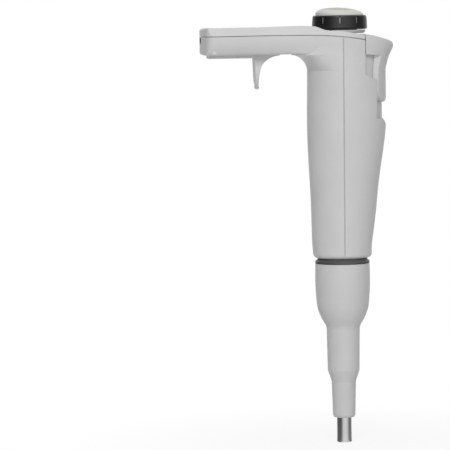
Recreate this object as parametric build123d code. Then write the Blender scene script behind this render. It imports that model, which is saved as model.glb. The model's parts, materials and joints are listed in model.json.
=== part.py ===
"""Electronic single-channel pipette with a display arm, a turning ring, a thumb ejector and a steel nozzle.

Millimetres. Z points up along the nozzle's axis, the arm reaches towards -X, the ejector is at +X.
Z = 0 is the lower end of the nozzle's sealing wall.
"""
import math
import os

from build123d import *

os.makedirs("parts", exist_ok=True)

# ---------------------------------------------------------------- driving dimensions
# clearances
GAP = 0.3  # between curved neighbours that move past each other
RUNNING = 0.05  # radial play of a shaft in its bush

# travels
EJECT_TRAVEL = 7.0
STROKE = 18.0
BUTTON_TRAVEL = 3.0
KEY_TRAVEL = 0.5

# casing
WALL = 1.8
HANDLE_BOTTOM = 86.8
HANDLE_SECTIONS = [  # height, reach to the front, reach to the back
    (HANDLE_BOTTOM, 13.6, 13.8),
    (98.0, 14.25, 14.7),
    (113.0, 14.55, 16.6),
    (128.0, 15.2, 18.4),
    (149.5, 15.85, 21.3),
    (162.0, 15.7, 21.4),
    (175.0, 15.5, 21.4),
]
HALF_WIDTH_BOTTOM = 12.6
HALF_WIDTH_RISE = 0.0485  # growth of the half width per millimetre of height
BOTTOM_ROUND = 2.0
ARCH_RADIUS = 7.5  # between the handle's front and the arm's underside
ARCH_TOP = 182.5
ARCH_FULLNESS = 1.8  # how much squarer the handle's oval gets where it meets the arm
PARTING_GROOVE = 0.5
GROOVE_DEPTH = 0.8
SHELF = (148.0, 150.0)  # floor under the battery

# arm
ARM_FRONT = -65.8
ARM_HALF_WIDTH = 19.5
ARM_ROOT = -14.0  # where the arm has narrowed to the handle's width
ARM_BULGE = 2.9  # how far the end face's middle stands before its corners
ARM_CORNER = 4.5
ARM_BOTTOM = 183.0
ARM_SIDE_ROUND = [(-70.0, 4.6), (-30.0, 4.2), (-12.0, 1.6), (0.0, 0.4)]  # X, reach of the lower edge's round
ARM_SIDE_HEIGHT = 8.2  # height of that round
ARM_END_ROUND = 2.0
SEAM = [(-72.0, 191.6), (-40.0, 191.65), (-19.0, 191.6), (0.0, 190.7), (6.0, 189.9), (12.0, 188.7)]
SEAM_GROOVE = 0.35

# cover
COVER_TOP = [(-61.3, 195.6), (-14.5, 195.9), (-9.0, 194.3), (-3.5, 193.6), (4.0, 192.7), (10.5, 191.6)]
COVER_NOSE = 2.5  # height of the end's rounding
COVER_LEAN = 24.0  # degrees that the cover's sides lean inward
COVER_BACK = 10.4
WINDOW = (-60.5, -31.0, 12.8)  # from X to X, half width
WINDOW_THICKNESS = 1.2

# ejector
LEVER_FRONT = COVER_BACK + GAP
RECESS_DEPTH = 2.0  # pocket and channel in the rear casing
LEVER_WALL = RECESS_DEPTH - GAP
TONGUE_HALF_WIDTH = 10.3
TONGUE_BOTTOM = 160.1
TONGUE_CORNER = 5.0
TONGUE_LIP = 2.0  # rounding of the tongue's outer lower edge
CHANNEL_HALF_WIDTH = TONGUE_HALF_WIDTH + GAP
CHANNEL_RAMP = [(19.2, 152.4), (21.6, 149.0)]
SKIRT_BOTTOM = 182.6
LEVER_SECTIONS = [  # height, reach to the back
    (175.0, 21.4),
    (178.0, 22.0),
    (181.0, 22.9),
    (183.5, 24.0),
    (185.7, 25.0),
    (188.0, 25.4),
    (194.0, 25.4),
]
LEVER_TOP = [(9.0, 192.0), (16.4, 190.8), (19.3, 190.0), (27.0, 187.7)]
LEVER_PLATE = 1.5
TIP_ROUND = 2.4
DECK_DROP = LEVER_PLATE + EJECT_TRAVEL + GAP  # from the lever's top surface down to the casing's deck
ROD_R = 1.5
ROD_X_LOW = 9.2
ROD_X_HIGH = 13.5
ROD_BEND = (131.0, 137.0)
ROD_TOP = 188.8
SPRING_FOOT = 150.0
SPRING_HEAD = 172.0

# ring
RING_BOTTOM = 194.2
RING_HEIGHT = 6.6
RING_TOP = RING_BOTTOM + RING_HEIGHT
RING_R_LOW = 13.0
RING_R_HIGH = 12.65
RING_WALL = 1.05
RING_BORE_R = RING_R_HIGH - RING_WALL
RING_WEB = 2.3
RING_WEB_TOP = RING_BOTTOM + RING_WEB
RING_ROUND = 0.9
RING_GROOVES = 9
RING_GROOVE_WIDTH = 1.4
RING_GROOVE_LENGTH = 3.8
RING_GROOVE_LAND = 0.5  # between a groove's end and the ring's top
RING_GROOVE_DEPTH = 0.9
RING_GROOVE_PHASE = 265.0
MAGNET = 1.4
MAGNET_RADII = (9.2, 11.0)
RETAINER = 0.7
BOSS_R = 12.0
BOSS_HEIGHT = 1.55
BOSS_TOP = RING_BOTTOM - GAP
BUSH_R = 8.0

# push button
BUTTON_R = RING_BORE_R - GAP
BUTTON_TILT = 3.0
BUTTON_RISE = 3.55  # crown above the ring
BUTTON_APEX = RING_TOP + BUTTON_RISE
BUTTON_SKIRT = 1.0  # below the ring's top
BUTTON_FOOT = RING_TOP - BUTTON_SKIRT
BUTTON_CROWN = 2.45  # from the apex to the ceiling of the button's hollow
BUTTON_CEILING = BUTTON_APEX - BUTTON_CROWN
BUTTON_BORE_R = BUTTON_R - 1.4
INSERT_R = 8.9
INSERT = 0.7
INSERT_FLOOR = BUTTON_APEX - 2.15
STEM_R = 3.0

# union ring and ejector sleeve
UNION_R = 12.8
UNION_TOP_R = 11.3
UNION_HEIGHT = 2.4
UNION_BAND = 0.9
UNION_BOTTOM = HANDLE_BOTTOM - UNION_HEIGHT
SLEEVE_MOUTH = 11.3
SLEEVE_MOUTH_R = 4.1
SLEEVE_SHELF = 66.0
SLEEVE_OUTER = [  # radius, height
    (SLEEVE_MOUTH_R, SLEEVE_MOUTH), (4.75, SLEEVE_MOUTH), (5.3, 12.3), (5.75, 28.4),
    (7.5, 33.6), (7.8, 53.3), (8.1, 54.6), (9.2, 56.6), (10.2, 58.4), (11.0, 60.2), (11.65, 62.0),
    (12.1, 63.9), (12.35, 65.8), (12.5, 67.7), (12.75, 71.4), (12.9, 77.0), (12.87, 81.0), (12.8, 84.2),
]
SLEEVE_INNER = [  # radius, height
    (11.65, 84.2), (11.65, 74.0), (11.1, SLEEVE_SHELF), (8.4, SLEEVE_SHELF), (8.4, 64.0), (9.8, 61.0),
    (7.3, 56.5), (6.5, 53.5), (6.5, 35.0), (4.5, 28.6), (4.5, 14.5), (SLEEVE_MOUTH_R, 13.5),
    (SLEEVE_MOUTH_R, SLEEVE_MOUTH),
]

# nozzle, cylinder and frame
NOZZLE_R = 3.5
NOZZLE_SEAL = 11.0
NOZZLE_TIP = -0.6
NOZZLE_TOP = 32.0
NOZZLE_STEM_R = 2.5  # inside the cylinder's socket
CHANNEL_R = 1.2
PLUNGER_R = 4.4
PLUNGER_TOP = 72.0
CYLINDER_R = 6.0
CYLINDER_BOTTOM = 18.0
CYLINDER_TOP = 79.0
COLLAR_R = 7.3
SEAL_FLOOR = 64.0
SEAL_R = 6.2
SEAL_STACK = (2.5, 1.5, 0.8)  # lip seal, O-ring, washer
SEAL_RETAINER = 2.0
FRAME_R = 11.3
FRAME_BOTTOM = 74.0
SPIGOT_R = 7.0
NECK_R = 6.6
NECK_LENGTH = 5.8  # above the handle's lower end
NUT_TOP = HANDLE_BOTTOM + NECK_LENGTH

# drive
SCREW_R = 1.5
CARRIAGE = (94.0, 99.0)
NUT_R = 3.4
MOTOR_R = 7.3
MOTOR_BOTTOM = 120.4
MOTOR_TOP = 145.4
MOTOR_SHELL = 0.8
MOTOR_SCREWS = [(5.2, 0.0), (-5.2, 0.0)]
MOTOR_SCREW_R = 0.8
MOTOR_SCREW_DEPTH = 2.2
BUSH = 2.5
ROTOR_GAP = 0.5
GUIDE_Y = 8.9
GUIDE_R = 1.1
PLATE = 2.0

# rail and hook
RAIL_FRONT = -62.2
RAIL_BACK = -40.7
RAIL_HALF_WIDTH = 9.75
RAIL_BOTTOM = 181.4
HOOK_HALF_WIDTH = 8.85
HOOK_BACK = -37.3
HOOK_TIP = 166.6
CONTACT_X = (-48.5, -42.5)
CONTACT_Y = [-2.85, 0.0, 2.85]
CONTACT_HALF_WIDTH = 0.9
CONTACT_DEPTH = 0.5

# electronics
BOARD_BOTTOM = 187.4
BOARD = 1.2
BOARD_TOP = BOARD_BOTTOM + BOARD
BOARD_POSTS = [(x, y) for x in (-57.5, -29.0) for y in (-13.6, 13.6)]
USB_FRONT = ARM_FRONT + 0.5
USB_BACK = -60.6
USB_SLOT = (6.2, 188.3, 192.0)  # half width, from Z to Z
DISPLAY_TOP = 193.3
KEYS = [(-21.0, y) for y in (-9.5, 0.0, 9.5)]
KEY_SIZE = (6.0, 7.0)
KEY_CORNER = 1.2
KEY_FOOT = BOARD_TOP + 3.9
KEY_FLANGE = 0.9
SWITCH = 1.6
STEM_BOTTOM = BOARD_TOP + SWITCH + 0.1 + BUTTON_TRAVEL

# screws
COVER_POSTS = [(-4.0, -9.8), (-4.0, 9.8)]
POST_R = 2.4
POST_TOP = 190.6
POST_BOTTOM = 176.0
COVER_SCREW_R = 1.0
COVER_SCREW_END = 184.0
COVER_SCREW_HEAD = (1.9, 1.4)  # radius, height
CASE_SCREW_Y = 7.0
CASE_SCREW_Z = 178.0
CASE_SCREW_R = 1.0
CASE_SCREW_REACH = 8.0  # into the front casing's boss
CASE_SCREW_SEAT = 13.4  # where the screw's head sits in the rear casing
CASE_SCREW_HEAD = (2.1, 1.4)
BOARD_SCREW_R = 0.9
BOARD_SCREW_END = 185.0
BOARD_SCREW_HEAD = (1.7, 0.8)
RAIL_SCREWS = [-58.0, -51.5]
RAIL_SCREW_R = 1.0
RAIL_SCREW_HEAD = (1.8, 1.0)

REACH = 80.0  # half size of a cutting block


# ---------------------------------------------------------------- helpers
def rod(z0, z1, r, x=0.0, y=0.0):
    return Pos(x, y, z0) * Cylinder(r, z1 - z0, align=(Align.CENTER, Align.CENTER, Align.MIN))


def tube(z0, z1, r_out, r_in, x=0.0, y=0.0):
    return rod(z0, z1, r_out, x, y) - rod(z0, z1, r_in, x, y)


def rod_x(x0, x1, r, y, z):
    return Pos(x0, y, z) * Rot(0, 90, 0) * Cylinder(r, x1 - x0, align=(Align.CENTER, Align.CENTER, Align.MIN))


def block(x0, x1, y0, y1, z0, z1):
    return Pos((x0 + x1) / 2, (y0 + y1) / 2, (z0 + z1) / 2) * Box(x1 - x0, y1 - y0, z1 - z0)


def turned(profile):
    """Solid of revolution about Z of a closed (radius, height) outline."""
    return revolve(make_face(Plane.XZ * Polyline(*profile, close=True)), Axis.Z)


def across(outline, half_width=REACH):
    """Prism along Y of a closed outline given in X and Z."""
    return extrude(make_face(Plane.XZ * outline), half_width, both=True)


def closed(curve, *corners):
    """Closed outline: a curve and the corners that lead from its end back to its start."""
    points = [curve @ 1, *[Vector(*c) for c in corners], curve @ 0]
    return Curve() + [curve, Polyline(*[(p.X, p.Y) for p in points])]


def coil(z0, z1, mean_r, wire_r, turns, x=0.0, y=0.0):
    height = z1 - z0 - 2 * wire_r
    path = Helix(pitch=height / turns, height=height, radius=mean_r)
    wire = Plane(origin=path @ 0, z_dir=path % 0) * Circle(wire_r)
    return Pos(x, y, z0 + wire_r) * sweep(wire, path=path, is_frenet=True)


def screw(z_head, z_end, r, head_r, head, x, y):
    """Screw along Z whose head's flat side is at z_head and whose end is at z_end."""
    way = 1 if z_end > z_head else -1
    low, high = sorted((z_head, z_head + way * head))
    shank = sorted((z_head + way * head, z_end))
    return rod(low, high, head_r, x, y) + rod(shank[0], shank[1], r, x, y)


def save(name, shape):
    if len(shape.solids()) == 1:
        shape = shape.solid()
    shape.label = name
    export_step(shape, f"parts/{name}.step")


# ---------------------------------------------------------------- casing forms
def half_width(z):
    return HALF_WIDTH_BOTTOM + HALF_WIDTH_RISE * (z - HANDLE_BOTTOM)


def half_oval(z, reach, width, side, fullness=2.0):
    """Half an oval at height z, cut at X = 0; side is -1 at the front and 1 at the back."""
    steps = 10
    points = []
    for i in range(steps + 1):
        t = math.pi * (i / steps - 0.5)
        x = side * reach * abs(math.cos(t)) ** (2 / fullness)
        y = math.copysign(width * abs(math.sin(t)) ** (2 / fullness), t)
        points.append((x, y) if 0 < i < steps else (0.0, y))
    arc = Spline(*points, tangents=[(side, 0), (-side, 0)])
    return Plane.XY.offset(z) * make_face([arc, Line(points[-1], points[0])])


def half_handle(side, inset=0.0, bottom=HANDLE_BOTTOM, top=196.0):
    """Front or rear half of the handle's form, shrunk by inset."""
    column = 1 if side < 0 else 2
    rows = [r for r in HANDLE_SECTIONS if bottom + 1 < r[0] < top - 1]
    rows = [(bottom, *section_at(bottom)), *rows, (top, *section_at(top))]
    return loft([half_oval(r[0], r[column] - inset, half_width(r[0]) - inset, side) for r in rows])


def rounded_foot(side):
    """Lowest stretch of the handle's half, with its rounded bottom edge."""
    faces = []
    for degrees in (0, 25, 50, 70, 90):
        t = math.radians(degrees)
        z = HANDLE_BOTTOM + BOTTOM_ROUND * (1 - math.cos(t))
        inset = BOTTOM_ROUND * (1 - math.sin(t))
        reach = section_at(z)[0 if side < 0 else 1]
        faces.append(half_oval(z, reach - inset, half_width(z) - inset, side))
    return loft(faces)


def section_at(z):
    """Front and back reach of the handle at height z."""
    for low, high in zip(HANDLE_SECTIONS, HANDLE_SECTIONS[1:]):
        if z <= high[0]:
            share = (z - low[0]) / (high[0] - low[0])
            return tuple(low[i] + share * (high[i] - low[i]) for i in (1, 2))
    return HANDLE_SECTIONS[-1][1:]


def arch_flare():
    """Handle's front where it spreads into the arm, round the arch."""
    reach = HANDLE_SECTIONS[-1][1]
    start = ARCH_TOP - ARCH_RADIUS
    faces = []
    for degrees in (0, 20, 40, 58, 74, 86):
        t = math.radians(degrees)
        z = start + ARCH_RADIUS * math.sin(t)
        front = reach + ARCH_RADIUS * (1 - math.cos(t))
        faces.append(half_oval(z, front, half_width(z), -1, 2.0 + ARCH_FULLNESS * math.sin(t)))
    widest = faces[-1]
    height = widest.center().Z
    return loft(faces) + extrude(widest, ARM_BOTTOM + 4.0 - height)


def arm_root():
    """Half width of the arm where it runs into the handle."""
    return half_width(ARM_BOTTOM)


def arm_widths():
    """X and half width of the sections that the arm and its cover are lofted through."""
    return [(-70.0, ARM_HALF_WIDTH + 0.15), (ARM_ROOT, arm_root()), (0.0, arm_root())]


def arm_width(x):
    (x0, w0), (x1, w1), _ = arm_widths()
    return w0 + (w1 - w0) * min(1.0, (x - x0) / (x1 - x0))


def arm_plan(inset=0.0, front=ARM_FRONT):
    """Outline of the arm from above, up to X = 0."""
    width = ARM_HALF_WIDTH - inset
    root = arm_root() - inset
    end = front + inset
    corner = end + ARM_BULGE
    edge = ThreePointArc((corner, -width), (end, 0), (corner, width))
    left = [(corner, width), (ARM_ROOT, root), (0, root)]
    right = [(x, -y) for x, y in reversed(left)]
    plan = make_face([edge, Polyline(*left, *right)])
    return fillet(plan.vertices().group_by(Axis.X)[0], ARM_CORNER - inset / 2)


def arm_tunnel(inset=0.0):
    """Cross-section of the arm's lower half, rounded below, run along the arm."""
    faces = []
    bottom = ARM_BOTTOM + inset
    for x, reach in ARM_SIDE_ROUND:
        w = arm_width(x) - inset
        r = max(reach - inset / 2, 0.3)
        h = ARM_SIDE_HEIGHT - inset
        turns = [math.radians(a) for a in (0, 30, 60, 90)]
        curve = [(w - r + r * math.sin(t), bottom + h - h * math.cos(t)) for t in turns]
        mirrored = [(-y, z) for y, z in reversed(curve)]
        outline = [
            Polyline((w, bottom + h), (w, 198.0), (-w, 198.0), (-w, bottom + h)),
            Spline(*mirrored, tangents=[(0, -1), (1, 0)]),
            Line((r - w, bottom), (w - r, bottom)),
            Spline(*curve, tangents=[(1, 0), (0, 1)]),
        ]
        faces.append(Plane((x, 0, 0), x_dir=(0, 1, 0), z_dir=(1, 0, 0)) * make_face(outline))
    return loft(faces, ruled=True)


def arm_form(inset=0.0):
    """Arm's lower form, up to above the seam."""
    plan = extrude(Pos(0, 0, ARM_BOTTOM + inset) * arm_plan(inset), 12.0)
    form = plan & arm_tunnel(inset)
    if inset:
        return form
    edge = ARM_BOTTOM + ARM_END_ROUND
    side = Curve() + [
        Line((5, ARM_BOTTOM), (ARM_FRONT + ARM_END_ROUND, ARM_BOTTOM)),
        RadiusArc((ARM_FRONT + ARM_END_ROUND, ARM_BOTTOM), (ARM_FRONT, edge), ARM_END_ROUND),
        Polyline((ARM_FRONT, edge), (ARM_FRONT, 200), (5, 200), (5, ARM_BOTTOM)),
    ]
    return form & across(side)


def above_seam(offset=0.0):
    seam = Spline(*[(x, z + offset) for x, z in SEAM])
    return across(closed(seam, (12.0, 230.0), (-72.0, 230.0)))


def lever_top(offset=0.0):
    """Everything above the ejector lever's top surface, moved down by offset."""
    top = Spline(*[(x, z - offset) for x, z in LEVER_TOP])
    return across(closed(top, (27.0, 230.0), (9.0, 230.0)))


# ---------------------------------------------------------------- front casing
def gusset():
    """Rib behind the hook that rises into the arm."""
    arch = ThreePointArc((HOOK_BACK, 178.1), (-34.3, 180.9), (-29.0, ARCH_TOP))
    outline = closed(arch, (-29.0, ARM_BOTTOM + 1), (HOOK_BACK, ARM_BOTTOM + 1))
    return across(outline, HOOK_HALF_WIDTH)


def rod_hole(z0, z1):
    return rod(z0, z1, ROD_R + GAP, ROD_X_LOW)


def front_form():
    handle = half_handle(-1, 0.0, HANDLE_BOTTOM + BOTTOM_ROUND, ARCH_TOP - ARCH_RADIUS)
    return rounded_foot(-1) + handle + arch_flare() + arm_form()


def make_front_housing():
    outer = front_form()
    cavity = half_handle(-1, WALL, HANDLE_BOTTOM + WALL, 198.0) + arm_form(WALL)
    shell = outer - cavity + gusset()
    inner = half_handle(-1, WALL, HANDLE_BOTTOM + WALL, 198.0)
    shelf = inner & block(-20, -GAP, -20, 20, *SHELF)
    shelf -= block(-20, -11.0, -3.5, 3.5, *SHELF)
    shell += shelf
    for x, y in BOARD_POSTS:
        shell += rod(ARM_BOTTOM + WALL / 2, BOARD_BOTTOM, 2.2, x, y)
        shell -= rod(BOARD_SCREW_END, BOARD_BOTTOM, BOARD_SCREW_R, x, y)
    for x, y in COVER_POSTS:
        rib = block(x - 1, x + 1, min(y, 2 * y), max(y, 2 * y), POST_BOTTOM, 189.0)
        shell += (rod(POST_BOTTOM, POST_TOP, POST_R, x, y) + rib) & outer
        shell -= rod(COVER_SCREW_END, POST_TOP, COVER_SCREW_R, x, y)
    for side in (-1, 1):
        shell += rod_x(-15.0, 0.0, POST_R, side * CASE_SCREW_Y, CASE_SCREW_Z) & outer
        shell -= rod_x(-CASE_SCREW_REACH, 0.0, CASE_SCREW_R, side * CASE_SCREW_Y, CASE_SCREW_Z)
    for x in RAIL_SCREWS:
        shell -= rod(ARM_BOTTOM - 1, ARM_BOTTOM + WALL + 1, RAIL_SCREW_R, x)
    shell -= above_seam()
    shell -= rod(HANDLE_BOTTOM - 1, HANDLE_BOTTOM + WALL + 1, 6.6)
    half, low, high = USB_SLOT
    shell -= block(ARM_FRONT - 1, ARM_FRONT + WALL, -half, half, low, high)
    shell -= block(ARM_FRONT - 1, USB_BACK, -3.9, 3.9, BOARD_TOP - 0.1, high)
    rim = outer - half_handle(-1, GROOVE_DEPTH, top=198.0)
    shell -= block(-PARTING_GROOVE / 2, 0, -30, 30, 80, 200) & rim
    return shell


# ---------------------------------------------------------------- rear casing
def rear_form():
    return rounded_foot(1) + half_handle(1, 0.0, HANDLE_BOTTOM + BOTTOM_ROUND, 196.0)


def lever_region():
    """Where the rear casing is recessed: a pocket under the lever's skirt and a channel for its tongue."""
    (floor_x, floor_z), (edge_x, edge_z) = CHANNEL_RAMP
    foot = [(10, floor_z), (floor_x, floor_z), (edge_x, edge_z), (30, edge_z)]
    channel = Polyline(*foot, (30, 230), (10, 230), close=True)
    brim = [(COVER_BACK, 173.1), (12.4, 172.0), (15.0, 171.2), (17.6, 168.8), (30, 168.8)]
    pocket = Polyline(*brim, (30, 230), (COVER_BACK, 230), close=True)
    return across(channel, CHANNEL_HALF_WIDTH) + across(pocket)


def make_rear_housing():
    outer = rear_form()
    recess = outer - half_handle(1, RECESS_DEPTH, 140.0, 198.0)
    shell = outer - (recess & lever_region())
    shell -= lever_top(DECK_DROP) & block(COVER_BACK, 40, -30, 30, 150, 230)
    split = 146.0
    low = half_handle(1, WALL, HANDLE_BOTTOM + WALL, split)
    ahead = half_handle(1, WALL, split, 198.0) & block(-1, COVER_BACK - WALL, -30, 30, split, 198.0)
    behind = half_handle(1, RECESS_DEPTH + WALL, split, 198.0) - lever_top(DECK_DROP + WALL)
    shell -= low + ahead + behind
    for side in (-1, 1):
        boss = rod_x(0.0, 18.0, POST_R, side * CASE_SCREW_Y, CASE_SCREW_Z)
        shell += boss & half_handle(1, RECESS_DEPTH + WALL / 2, 140.0, 198.0)
        shell -= rod_x(CASE_SCREW_SEAT, 20.0, CASE_SCREW_HEAD[0], side * CASE_SCREW_Y, CASE_SCREW_Z)
        shell -= rod_x(0.0, CASE_SCREW_SEAT, CASE_SCREW_R, side * CASE_SCREW_Y, CASE_SCREW_Z)
    seat = block(9.0, 22.0, -6.0, 6.0, SPRING_FOOT - PLATE, SPRING_FOOT)
    seat &= half_handle(1, RECESS_DEPTH + WALL / 2, 140.0, 198.0)
    shell += seat - rod(SPRING_FOOT - PLATE, SPRING_FOOT, ROD_R + GAP, ROD_X_HIGH)
    shell -= above_seam()
    shell -= rod(HANDLE_BOTTOM - 1, HANDLE_BOTTOM + WALL + 1, 6.6)
    shell -= rod_hole(HANDLE_BOTTOM - 1, HANDLE_BOTTOM + WALL + 1)
    shell -= rod(170.0, 186.0, STEM_R + GAP, ROD_X_HIGH)
    rim = outer - half_handle(1, GROOVE_DEPTH, 86.0, 198.0)
    return shell - (block(0, PARTING_GROOVE / 2, -30, 30, 80, 200) & rim)


# ---------------------------------------------------------------- cover
def cover_profile(inset=0.0):
    """Side view of the cover: rounded end, nearly level top, slope under the ring."""
    end = ARM_FRONT + inset
    top = [(x + inset / 3, z - inset) for x, z in COVER_TOP]
    foot = COVER_TOP[0][1] - COVER_NOSE - inset
    nose = Spline((end, foot), top[0], tangents=[(0, 1), (1, 0.012)])
    flat = Line(top[0], top[1])
    slope = Spline(*top[1:], tangents=[(1, 0.0), (1, -0.14)])
    rest = Polyline(top[-1], (top[-1][0], 180.0), (end, 180.0), (end, foot))
    side = across(Curve() + [nose, flat, slope, rest])
    return side & block(-80, COVER_BACK, -40, 40, 180, 230)


def cover_sides(inset=0.0):
    """Room between the cover's leaning sides."""
    lean = math.tan(math.radians(COVER_LEAN))
    faces = []
    top = 198.0
    for (x, width), base in zip(arm_widths(), (191.6, 191.4, 190.8)):
        w = width - inset
        upper = w - (top - base) * lean
        corners = [(w, 180), (w, base), (upper, top), (-upper, top), (-w, base)]
        outline = Polyline((-w, 180), *corners, close=True)
        faces.append(Plane((x, 0, 0), x_dir=(0, 1, 0), z_dir=(1, 0, 0)) * make_face(outline))
    front = loft(faces, ruled=True)
    base = 190.8
    reach, width = HANDLE_SECTIONS[-1][2] - inset, half_width(ARM_BOTTOM) - inset
    shrink = (top - base) * lean
    straight = extrude(half_oval(180.0, reach, width, 1), base - 180.0)
    leaning = loft([half_oval(base, reach, width, 1), half_oval(top, reach - shrink, width - shrink, 1)])
    return front + straight + leaning


def cover_form(inset=0.0):
    plan = extrude(Pos(0, 0, 180.0) * arm_plan(inset), 20.0) + block(0, 20, -40, 40, 180.0, 200.0)
    return cover_profile(inset) & cover_sides(inset) & plan


def key_prism(x, y, grow=0.0):
    size = (KEY_SIZE[0] + 2 * grow, KEY_SIZE[1] + 2 * grow)
    return extrude(Pos(x, y, KEY_FOOT) * RectangleRounded(*size, KEY_CORNER + grow), 8.0)


def window_region():
    x0, x1, y = WINDOW
    slope = (COVER_TOP[1][1] - COVER_TOP[0][1]) / (COVER_TOP[1][0] - COVER_TOP[0][0])
    low = [COVER_TOP[0][1] + slope * (x - COVER_TOP[0][0]) - WINDOW_THICKNESS for x in (x0, x1)]
    return across(Polyline((x0, low[0]), (x1, low[1]), (x1, 200.0), (x0, 200.0), close=True), y)


def ring_seat():
    """Round collar that carries the turning ring."""
    foot = 0.8
    low = BOSS_TOP - BOSS_HEIGHT
    return turned([(0, low), (BOSS_R - foot, low), (BOSS_R, low + foot), (BOSS_R, BOSS_TOP), (0, BOSS_TOP)])


def make_top_cover(form):
    shell = form - cover_form(WALL)
    floor = form & rod(BOSS_TOP - WALL, BOSS_TOP + 5, RING_R_LOW + GAP + WALL)
    root = form & rod(POST_TOP, BOSS_TOP, BOSS_R)
    shell = shell + floor + root
    shell -= rod(BOSS_TOP, 205.0, RING_R_LOW + GAP + 0.1)
    shell += ring_seat()
    shell -= rod(180.0, 200.0, 5.0)
    shell -= window_region()
    x0, x1, y = WINDOW
    shell -= block(x0 + 2, x1 - 2, -y + 2, y - 2, 185, 200)
    for x, y in KEYS:
        shell -= key_prism(x, y, GAP / 2)
    for x, y in COVER_POSTS:
        shell -= rod(180.0, BOSS_TOP, COVER_SCREW_R, x, y)
        shell -= rod(BOSS_TOP - COVER_SCREW_HEAD[1], BOSS_TOP + 1, COVER_SCREW_HEAD[0], x, y)
    groove = above_seam() - above_seam(SEAM_GROOVE) - cover_form(GROOVE_DEPTH)
    return (shell & above_seam()) - groove


def make_display_window(form):
    return form & window_region()


def make_key(form, x, y):
    cap = form & key_prism(x, y)
    flange = Pos(x, y, KEY_FOOT) * RectangleRounded(KEY_SIZE[0] + 2, KEY_SIZE[1] + 1.6, KEY_CORNER)
    return cap + extrude(flange, KEY_FLANGE)


# ---------------------------------------------------------------- ejector
def lever_form():
    """Handle's back with the lever's beak, flush with the casing at the lever's front."""
    low = half_handle(1, 0.0, 150.0, LEVER_SECTIONS[0][0])
    faces = []
    for z, back in LEVER_SECTIONS:
        casing = math.sqrt(1 - (LEVER_FRONT / LEVER_SECTIONS[0][1]) ** 2)
        lever = math.sqrt(1 - (LEVER_FRONT / back) ** 2)
        faces.append(half_oval(z, back, half_width(z) * casing / lever, 1))
    return low + loft(faces)


def tongue_region():
    """Column that the lever's tongue is cut from, with its lower corners and lip rounded."""
    w, z, r = TONGUE_HALF_WIDTH, TONGUE_BOTTOM, TONGUE_CORNER
    k = r * (1 - math.sqrt(0.5))
    rear_view = Curve() + [
        Line((-w, 190), (-w, z + r)),
        ThreePointArc((-w, z + r), (-w + k, z + k), (-w + r, z)),
        Line((-w + r, z), (w - r, z)),
        ThreePointArc((w - r, z), (w - k, z + k), (w, z + r)),
        Polyline((w, z + r), (w, 190), (-w, 190)),
    ]
    back = section_at(z)[1]
    lip = [(back - TONGUE_LIP, z), (back - 0.4 * TONGUE_LIP, z + 0.3 * TONGUE_LIP), (back, z + TONGUE_LIP)]
    side_view = Curve() + [
        Line((5, z), lip[0]),
        ThreePointArc(*lip),
        Polyline(lip[-1], (30, z + 3 * TONGUE_LIP), (30, 190), (5, 190), (5, z)),
    ]
    return extrude(make_face(Plane.YZ * rear_view), REACH, both=True) & across(side_view)


def make_thumb_lever():
    form = lever_form() - lever_top()
    tip = form.edges().filter_by(lambda e: e.bounding_box().max.X > 22 and e.bounding_box().max.Z > 189)
    form = fillet(tip, TIP_ROUND)
    hem = [(LEVER_FRONT, SKIRT_BOTTOM), (14.0, SKIRT_BOTTOM - 0.4), (30, SKIRT_BOTTOM - 0.6)]
    skirt = across(Polyline(*hem, (30, 230), (LEVER_FRONT, 230), close=True))
    tongue = tongue_region()
    hollow = half_handle(1, LEVER_WALL, 140.0, 198.0) - lever_top(LEVER_PLATE)
    lever = form & (skirt + tongue)
    lever -= hollow
    boss = rod(181.2, 192.0, STEM_R, ROD_X_HIGH) - lever_top(LEVER_PLATE / 2)
    return lever + boss - rod(180.0, ROD_TOP, ROD_R, ROD_X_HIGH)


def make_ejector_rod():
    low, high = ROD_BEND
    points = [(ROD_X_LOW, SLEEVE_SHELF), (ROD_X_LOW, low), (ROD_X_HIGH, high), (ROD_X_HIGH, ROD_TOP)]
    path = Plane.XZ * FilletPolyline(*points, radius=5.0)
    wire = Plane(origin=path @ 0, z_dir=(0, 0, 1)) * Circle(ROD_R)
    return sweep(wire, path=path)


def make_ejector_sleeve():
    """Stepped sleeve round the cylinder, from the nozzle up to the union ring."""
    mouth = Polyline(*SLEEVE_OUTER[:6])
    ogive = Spline(*SLEEVE_OUTER[5:], tangents=[(0.2, 1), (-0.02, 1)])
    steps = 24
    flank = Polyline(*[ogive @ (i / steps) for i in range(steps + 1)])
    inside = Polyline(SLEEVE_OUTER[-1], *SLEEVE_INNER)
    return revolve(make_face(Plane.XZ * (Curve() + [mouth, flank, inside])), Axis.Z)


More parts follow.
